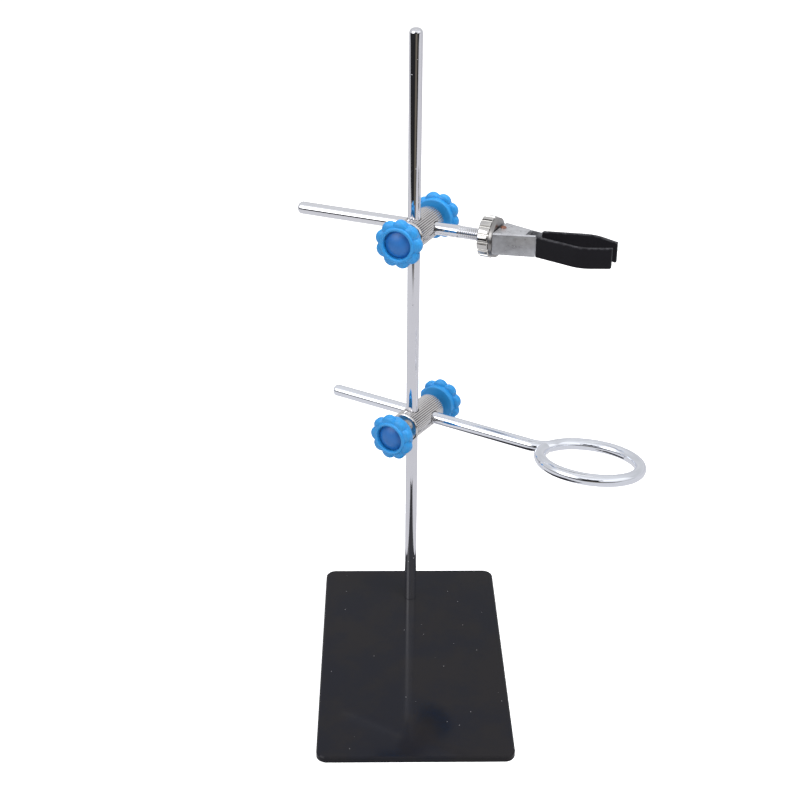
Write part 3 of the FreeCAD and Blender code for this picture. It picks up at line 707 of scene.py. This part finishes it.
def armPiece():
    r, tip = clampArm["radius"], clampArm["tip"]
    rear, front = clampArm["rear"], clampArm["front"]
    profile = [(rear, 0.0)]
    profile += [(x, y) for x, y in arcPoints((rear + tip, r - tip), tip, 90, 180, 12)][::-1]
    profile += [(rear + tip + 4 + step * 4, r) for step in range(19)]
    level = clampArm["threadStart"] - 1
    while level < clampArm["threadEnd"] + 0.5:
        profile.append((level, r))
        level += screw["pitch"] / screw["ringsPerTurn"]
    profile += [(front - 0.3, r), (front, r - 0.3), (front, 0.0)]
    piece = turned("clampArm", profile, 64)
    runTree(piece, cutThread, Pitch=screw["pitch"] * mm, Depth=screw["depth"] * mm,
            Start=clampArm["threadStart"] * mm, End=clampArm["threadEnd"] * mm, Fade=1.0 * mm)
    piece.data.transform(alongX)
    tools = []
    for sign in (1, -1):
        low, high = sorted((sign * clampArm["flatHalf"], sign * 5))
        tools.append(boxTool(clampArm["flatStart"], front + 2, -5, 5, low, high))
    hole = turned("rivetHole", [(-5, 0), (-5, clampArm["rivetRadius"]), (5, clampArm["rivetRadius"]), (5, 0)], 32)
    hole.data.transform(Matrix.Translation((clampArm["pivot"] * mm, 0, 0)))
    tools.append(hole)
    cut(piece, tools)
    dress(piece, armPlace(heads["upper"]), "clamp", "chromeUpperArm", ["clamp_arm"], 50)


def boxTool(x0, x1, y0, y1, z0, z1):
    corners = [(x, y, z) for x in (x0, x1) for y in (y0, y1) for z in (z0, z1)]
    faces = [(0, 1, 3, 2), (4, 6, 7, 5), (0, 4, 5, 1), (2, 3, 7, 6), (0, 2, 6, 4), (1, 5, 7, 3)]
    return meshObject("boxTool", corners, faces)


armPiece()
print("clamp arm made")


# Fluted nut and push collar
nut = {"radius": 9.75, "back": 30.62, "front": 36.02, "chamfer": 0.8, "bore": 3.05, "grooves": 16,
       "grooveDepth": 0.75, "grooveShare": 0.3, "crown": 0.12, "steps": 28}
collar = {"radius": 9.2, "back": 36.1, "front": 38.1, "bore": 3.35}


def nutPiece():
    radius, chamfer, back, front = nut["radius"], nut["chamfer"], nut["back"], nut["front"]

    def grooved(angle, outer):
        # slightly crowned lands with narrow steep grooves between them
        place = abs((angle * nut["grooves"] / math.tau + 0.5) % 1.0 - 0.5) * 2 / nut["grooveShare"]
        if place < 1.0:
            return min(outer, radius - nut["grooveDepth"] * (1 - place ** 3) ** 0.6 - nut["crown"])
        land = (1 - place * nut["grooveShare"]) / (1 - nut["grooveShare"])
        return min(outer, radius - nut["crown"] * land ** 2)

    rows = [lambda a: (nut["bore"], back), lambda a: (radius - 2.4, back), lambda a: (radius - 1.2, back)]
    edge = []
    for step in range(5):
        bend = math.pi / 2 * step / 4
        edge.append((chamfer * (1 - math.sin(bend)), chamfer * (1 - math.cos(bend))))
    for inset, lift in edge:
        rows.append(lambda a, i=inset, h=back + lift: (grooved(a, radius - i), h))
    rows.append(lambda a: (grooved(a, radius), (back + front) / 2))
    for inset, lift in edge[::-1]:
        rows.append(lambda a, i=inset, h=front - lift: (grooved(a, radius - i), h))
    rows += [lambda a: (radius - 1.2, front), lambda a: (radius - 2.4, front), lambda a: (nut["bore"], front),
             lambda a: (nut["bore"], back)]
    angles = [math.tau / nut["grooves"] * step / nut["steps"] for step in range(nut["steps"] + 1)]
    verts, faces = turnedRows(rows, angles, False)
    piece = meshObject("clampNut", verts, faces)
    runTree(piece, repeatRoundAxis, Count=nut["grooves"], Material=finishes["nickelNut"])
    cleanMesh(piece.data)
    piece.data.transform(alongX)
    dress(piece, armPlace(heads["upper"]), "nut", "nickelNut", ["clamp_nut"], 40)


def collarPiece():
    radius, back, front, bore = collar["radius"], collar["back"], collar["front"], collar["bore"]
    profile = [(back, bore), (back, radius - 0.2), (back + 0.2, radius)]
    profile += [(y, x) for x, y in arcPoints((radius - 0.6, front - 0.6), 0.6, 0, 90, 6)]
    profile += [(front, bore + 0.2), (front - 0.2, bore), (back, bore)]
    piece = turned("pushCollar", profile, 96)
    piece.data.transform(alongX)
    dress(piece, armPlace(heads["upper"]), "collar", "collarSteel", ["push_collar"], 40)


nutPiece()
collarPiece()
print("nut and collar made")


# Jaws, sleeves and small parts: the CAD shape with its edges broken
def softened(node, name, body, finish, width, segments=2, angle=30.0, crease=35.0):
    copy = bpy.data.objects.new(name, nodes[node].data.copy())
    scene.collection.objects.link(copy)
    shape = bmesh.new()
    shape.from_mesh(copy.data)
    bmesh.ops.remove_doubles(shape, verts=shape.verts, dist=0.000005)
    bmesh.ops.dissolve_limit(shape, angle_limit=math.radians(0.5), verts=shape.verts, edges=shape.edges)
    shape.to_mesh(copy.data)
    shape.free()
    bevel = copy.modifiers.new("broken edges", "BEVEL")
    bevel.width, bevel.segments = width * mm, segments
    bevel.limit_method, bevel.angle_limit = "ANGLE", math.radians(angle)
    settle(copy)
    return dress(copy, Matrix.Identity(4), body, finish, [node], crease)


edges = {"fold": 0.3, "sleeve": 0.4}
for side in ("near", "far"):
    softened(f"{side}_jaw", f"{side}Jaw", f"{side}_jaw", "zincSheet", edges["fold"], 3)
for side in ("near", "far"):
    softened(f"{side}_sleeve", f"{side}Sleeve", f"{side}_jaw", "sleeve", edges["sleeve"], 4)


# Pivot rivet with low domed heads, and the coil that holds the jaws open
rivet = {"shank": 1.1, "head": 1.5, "headHeight": 0.9, "half": 5.2}
coil = {"reach": 8.6, "radius": 1.9, "wire": 0.3, "turns": 5.5, "half": 3.4, "steps": 24, "sides": 10}


def rivetPiece():
    half, head = rivet["half"], rivet["head"]
    profile = [(-half - rivet["headHeight"], 0.0)]
    for step in range(1, 9):
        angle = math.pi / 2 * step / 8
        profile.append((-half - rivet["headHeight"] * math.cos(angle), head * math.sin(angle)))
    profile += [(-half, rivet["shank"])]
    profile += [(-height, radius) for height, radius in profile[::-1]]
    piece = turned("jawRivet", profile, 48)
    piece.data.transform(Matrix.Translation((clampArm["pivot"] * mm, 0, 0)))
    dress(piece, armPlace(heads["upper"]), "clamp", "copperRivet", ["jaw_rivet"], 50)


def springCoil():
    # the axis lies across the jaws
    path = []
    total = int(coil["turns"] * coil["steps"])
    for step in range(total + 1):
        angle = math.tau * step / coil["steps"]
        along = -coil["half"] + 2 * coil["half"] * step / total
        path.append(Vector((coil["radius"] * math.cos(angle), along, coil["radius"] * math.sin(angle))))
    verts, faces = [], []
    sides = coil["sides"]
    for index, point in enumerate(path):
        ahead = (path[min(index + 1, total)] - path[max(index - 1, 0)]).normalized()
        out = Vector((point.x, 0, point.z)).normalized()
        across = ahead.cross(out).normalized()
        for side in range(sides):
            angle = math.tau * side / sides
            verts.append(point + (out * math.cos(angle) + across * math.sin(angle)) * coil["wire"])
    for level in range(total):
        for side in range(sides):
            a, b = level * sides + side, level * sides + (side + 1) % sides
            faces.append((a, b, b + sides, a + sides))
    faces += [tuple(range(sides))[::-1], tuple(range(total * sides, (total + 1) * sides))]
    piece = meshObject("jawSpring", verts, faces)
    cleanMesh(piece.data)
    piece.data.transform(Matrix.Translation(((clampArm["pivot"] + coil["reach"]) * mm, 0, 0)))
    dress(piece, armPlace(heads["upper"]), "clamp", "springSteel")


rivetPiece()
springCoil()
print("jaws made")


# Ring arm: one bent rod, closed on its own neck
ring = {"rear": -53.0, "centre": 91.8, "radius": 23.6, "neck": 10.0, "rod": 3.0, "wire": 2.88, "tip": 2.2,
        "sides": 64}


def sweptRod(name, rows):
    # each row is a place in the XY plane, its direction and the radius there
    verts, faces = [], []
    sides = ring["sides"]
    for x, y, heading, radius in rows:
        for step in range(sides):
            angle = math.tau * step / sides
            out = radius * math.cos(angle)
            verts.append((x - out * math.sin(heading), y + out * math.cos(heading), radius * math.sin(angle)))
    for level in range(len(rows) - 1):
        for step in range(sides):
            a, b = level * sides + step, level * sides + (step + 1) % sides
            faces.append((a, a + sides, b + sides, b))
    faces.append(tuple(range(sides)))
    faces.append(tuple(range((len(rows) - 1) * sides, len(rows) * sides))[::-1])
    piece = meshObject(name, verts, faces)
    cleanMesh(piece.data)
    return piece


def ringPiece():
    radius, neck, centre = ring["radius"], ring["neck"], ring["centre"]
    rod, wire, tip, rear = ring["rod"], ring["wire"], ring["tip"], ring["rear"]
    neckX = centre - math.sqrt(radius ** 2 + 2 * radius * neck)
    lean = math.asin(neck / (neck + radius))
    rows = [(rear + x, 0.0, 0.0, rod - tip + y) for x, y in arcPoints((tip, 0), tip, 180, 90, 12)]
    rows += [(rear + tip + (neckX - rear - tip) * step / 24, 0.0, 0.0, rod) for step in range(1, 25)]
    for step in range(1, 17):
        share = step / 16
        angle = (math.pi / 2 - lean) * share
        rows.append((neckX + neck * math.sin(angle), neck - neck * math.cos(angle), angle,
                     rod + (wire - rod) * min(1, share * 2)))
    start = math.pi - lean
    for step in range(1, 121):
        angle = start - (start + math.pi / 2) * step / 120
        rows.append((centre + radius * math.cos(angle), radius * math.sin(angle), angle - math.pi / 2, wire))
    arm = sweptRod("ringArm", rows)
    closing = []
    for step in range(41):
        angle = -math.pi / 2 + 0.02 - (math.pi / 2 + 0.02) * step / 40
        closing.append((centre + radius * math.cos(angle), radius * math.sin(angle), angle - math.pi / 2,
                        wire - 0.002))
    join(arm, [sweptRod("ringEnd", closing)])
    dress(arm, armPlace(heads["lower"], ringRoll), "ring", "chromeRingPaintedSkySheen", ["ring_arm"], 50)


ringPiece()
print("ring arm made")


# Camera, at the photograph's place
camera = {"place": (-0.0162, -0.5502, 0.4206), "yaw": -0.97, "pitch": 26.63, "roll": 0.35, "lens": 61.39}


def makeCamera():
    yaw, pitch, roll = (math.radians(camera[key]) for key in ("yaw", "pitch", "roll"))
    forward = Vector((-math.sin(yaw) * math.cos(pitch), math.cos(yaw) * math.cos(pitch), -math.sin(pitch)))
    right = Vector((math.cos(yaw), math.sin(yaw), 0))
    up = right.cross(forward)
    rolledRight = right * math.cos(roll) + up * math.sin(roll)
    rolledUp = up * math.cos(roll) - right * math.sin(roll)
    eye = bpy.data.objects.new("camera", bpy.data.cameras.new("camera"))
    turn = Matrix((rolledRight, rolledUp, -forward)).transposed()
    eye.matrix_world = Matrix.Translation(camera["place"]) @ turn.to_4x4()
    eye.data.sensor_width, eye.data.lens = 36, camera["lens"]
    eye.data.clip_start, eye.data.clip_end = 0.01, 50
    scene.collection.objects.link(eye)
    scene.camera = eye


# Pale floor and soft lamps. Shiny metal sees a pale sheet round the stand,
# a dark room in front of it, and soft boxes above the horizon.
studio = {"floorSize": 12.0, "floorColour": (0.86, 0.86, 0.87), "sheetFront": 0.458, "sheetTone": (0.7, 0.7, 0.73),
          "roomTone": (0.005, 0.005, 0.006), "brownTone": (0.16, 0.14, 0.11), "behindTone": (0.58, 0.58, 0.61)}


def sheetTones(tree):
    # what a reflection of the floor looks like at each place: pale round the
    # stand, dark past the sheet's slanting front edge, brown in the middle
    place = addNode(tree, "ShaderNodeTexCoord")
    split = addNode(tree, "ShaderNodeSeparateXYZ")
    tree.links.new(place.outputs["Object"], split.inputs[0])
    x, y = split.outputs[0], split.outputs[1]
    ahead = mathNode(tree, "SUBTRACT", stand["rodY"] * mm, y)
    edge = mathNode(tree, "ADD", mathNode(tree, "MULTIPLY", x, 0.12), studio["sheetFront"])
    edge = mathNode(tree, "ADD", edge, mathNode(tree, "MULTIPLY", mathNode(tree, "MAXIMUM", x, 0.0), 0.35))
    left = mathNode(tree, "MAXIMUM", mathNode(tree, "SUBTRACT", -0.5, x), 0.0)
    past = mathNode(tree, "SUBTRACT", ahead, mathNode(tree, "SUBTRACT", edge, mathNode(tree, "MULTIPLY", left, 0.85)))
    slant = mathNode(tree, "DIVIDE", x, mathNode(tree, "MAXIMUM", ahead, 0.01))
    brown = ease(tree, mathNode(tree, "ABSOLUTE", mathNode(tree, "SUBTRACT", slant, 0.12)), 0.4, 0.14)
    room = blendColours(tree, brown, studio["roomTone"], studio["brownTone"])
    pale = blendColours(tree, ease(tree, ahead, -0.3, -0.6), studio["sheetTone"], studio["behindTone"])
    return blendColours(tree, ease(tree, past, -0.03, 0.045), pale, room)


def makeFloor():
    half = studio["floorSize"] / 2 / mm
    floor = meshObject("floor", [(-half, -half, -0.02), (half, -half, -0.02), (half, half, -0.02),
                                 (-half, half, -0.02)], [(0, 1, 2, 3)])
    material = bpy.data.materials.new("paleFloor")
    material.use_nodes = True
    tree = material.node_tree
    shader = tree.nodes["Principled BSDF"]
    shader.inputs["Roughness"].default_value = 0.9
    shader.inputs["Specular IOR Level"].default_value = 0.1
    path = addNode(tree, "ShaderNodeLightPath")
    glossy = path.outputs["Is Glossy Ray"]
    tree.links.new(blendColours(tree, glossy, studio["floorColour"], (0.0, 0.0, 0.0)), shader.inputs["Base Color"])
    tree.links.new(blendColours(tree, glossy, (0.62, 0.62, 0.62), sheetTones(tree)), shader.inputs["Emission Color"])
    tree.links.new(mathNode(tree, "MAXIMUM", glossy, path.outputs["Is Camera Ray"]),
                   shader.inputs["Emission Strength"])
    floor.data.materials.append(material)


def toneRamp(tree, value, stops):
    ramp = addNode(tree, "ShaderNodeValToRGB")
    tones = ramp.color_ramp
    for index, (place, level) in enumerate(stops):
        stop = tones.elements[0] if index == 0 else tones.elements.new(place)
        stop.position, stop.color = place, (level, level * 1.01, level * 1.04, 1)
    tones.elements.remove(tones.elements[len(tones.elements) - 1])
    tree.links.new(value, ramp.inputs[0])
    return ramp.outputs[0]


# Brightness above the horizon, from level (0) to overhead (1)
skyTones = {
    "front": ((0.0, 0.03), (0.05, 0.25), (0.09, 0.6), (0.2, 0.9), (0.34, 1.05), (0.57, 1.2),
              (0.7, 1.0), (0.77, 0.9), (0.92, 0.84), (0.97, 0.64), (1.0, 0.86)),
    "side": ((0.0, 0.45), (0.2, 0.8), (0.34, 1.0), (0.57, 1.15), (0.77, 0.88), (0.92, 0.78), (1.0, 0.86)),
    "behind": ((0.0, 0.7), (0.34, 0.62), (0.8, 0.78), (0.97, 0.7), (1.0, 0.86)),
}


def makeWorld():
    world = bpy.data.worlds.new("studio")
    scene.world = world
    world.use_nodes = True
    tree = world.node_tree
    back = tree.nodes["Background"]
    path = addNode(tree, "ShaderNodeLightPath")
    way = addNode(tree, "ShaderNodeTexCoord")
    split = addNode(tree, "ShaderNodeSeparateXYZ")
    tree.links.new(way.outputs["Generated"], split.inputs[0])
    x, y, z = split.outputs
    level = mathNode(tree, "SQRT", mathNode(tree, "ADD", mathNode(tree, "MULTIPLY", x, x),
                                            mathNode(tree, "MULTIPLY", y, y)))
    facing = mathNode(tree, "DIVIDE", mathNode(tree, "MULTIPLY", y, -1.0), mathNode(tree, "MAXIMUM", level, 0.01))
    front, side, behind = (toneRamp(tree, z, skyTones[key]) for key in ("front", "side", "behind"))
    # a ragged dark shape straight ahead, low down
    slant = mathNode(tree, "DIVIDE", x, mathNode(tree, "MAXIMUM", level, 0.01))
    ragged = addNode(tree, "ShaderNodeTexNoise", {"Scale": 6.0, "Detail": 2.0})
    tree.links.new(way.outputs["Generated"], ragged.inputs["Vector"])
    wander = mathNode(tree, "MULTIPLY", mathNode(tree, "SUBTRACT", ragged.outputs[0], 0.5), 0.6)
    wide = mathNode(tree, "ADD", mathNode(tree, "ABSOLUTE", mathNode(tree, "ADD", slant, 0.05)), wander)
    shape = mathNode(tree, "MULTIPLY", ease(tree, wide, 0.42, 0.36),
                     ease(tree, mathNode(tree, "ADD", z, wander), 0.5, 0.44))
    front = blendColours(tree, shape, front, (0.02, 0.02, 0.022))
    ahead = blendColours(tree, ease(tree, facing, 0.45, 0.6), side, front)
    shine = blendColours(tree, ease(tree, facing, -0.2, 0.1), behind, ahead)
    soft = blendColours(tree, path.outputs["Is Camera Ray"], (0.4, 0.4, 0.4), (1, 1, 1))
    tree.links.new(blendColours(tree, path.outputs["Is Glossy Ray"], soft, shine), back.inputs["Color"])
    back.inputs["Strength"].default_value = 1.0


# Lamps: place and aim in millimetres, disk size in metres, power in watts
lamps = {
    "keyLamp": {"place": (350, -400, 1250), "size": 0.8, "power": 12.5, "mirrored": False},
    "fillLamp": {"place": (-900, -600, 700), "size": 0.9, "power": 4.0, "mirrored": True},
    "topLamp": {"place": (0, 200, 1300), "size": 0.9, "power": 7.5, "mirrored": False},
}
lampAim = (0, 0, 150)


def makeLamp(name, settings):
    lamp = bpy.data.objects.new(name, bpy.data.lights.new(name, "AREA"))
    lamp.data.shape, lamp.data.size, lamp.data.energy = "DISK", settings["size"], settings["power"]
    place, aim = Vector(settings["place"]) * mm, Vector(lampAim) * mm
    lamp.matrix_world = Matrix.Translation(place) @ (aim - place).to_track_quat("-Z", "Y").to_matrix().to_4x4()
    # metal mirrors the studio's tones, and only one lamp's disk
    lamp.visible_glossy = settings["mirrored"]
    scene.collection.objects.link(lamp)


makeCamera()
makeFloor()
makeWorld()
for name, settings in lamps.items():
    makeLamp(name, settings)
scene.view_settings.view_transform = "Standard"
print("studio ready")
